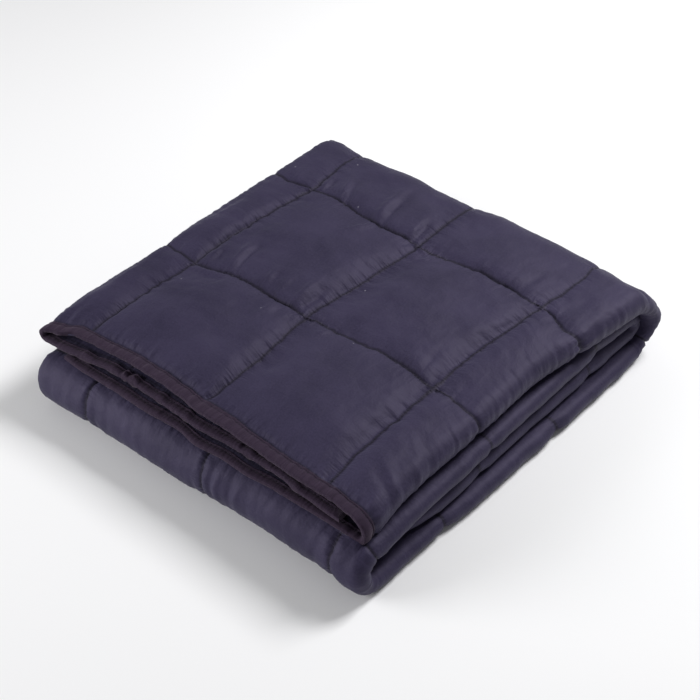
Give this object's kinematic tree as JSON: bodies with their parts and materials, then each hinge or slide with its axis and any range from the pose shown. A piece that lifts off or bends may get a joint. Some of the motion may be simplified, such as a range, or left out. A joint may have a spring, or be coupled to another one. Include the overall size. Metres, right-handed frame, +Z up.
{
  "type": "folded weighted blanket",
  "caption": "Quilted weighted blanket with a bound edge, folded in thirds across and wound into a flat stack.",
  "frame": {"origin": "middle of the footprint, on the surface that the folded blanket lies on", "axes": "+X across the folded width to the right, +Y from the bound front end to the back fold, +Z up"},
  "size_m": [0.3686, 0.404, 0.0756],
  "materials": {
    "quilt_cotton": "plain woven dark navy-purple cotton, matt with a faint sheen, puckered along its stitched seams",
    "binding_cotton": "darker, slightly maroon woven tape, folded over the raw edge and stitched"
  },
  "bodies": {
    "root": {"quilt": "quilt_cotton", "binding_tape": "binding_cotton"}
  },
  "joints": []
}
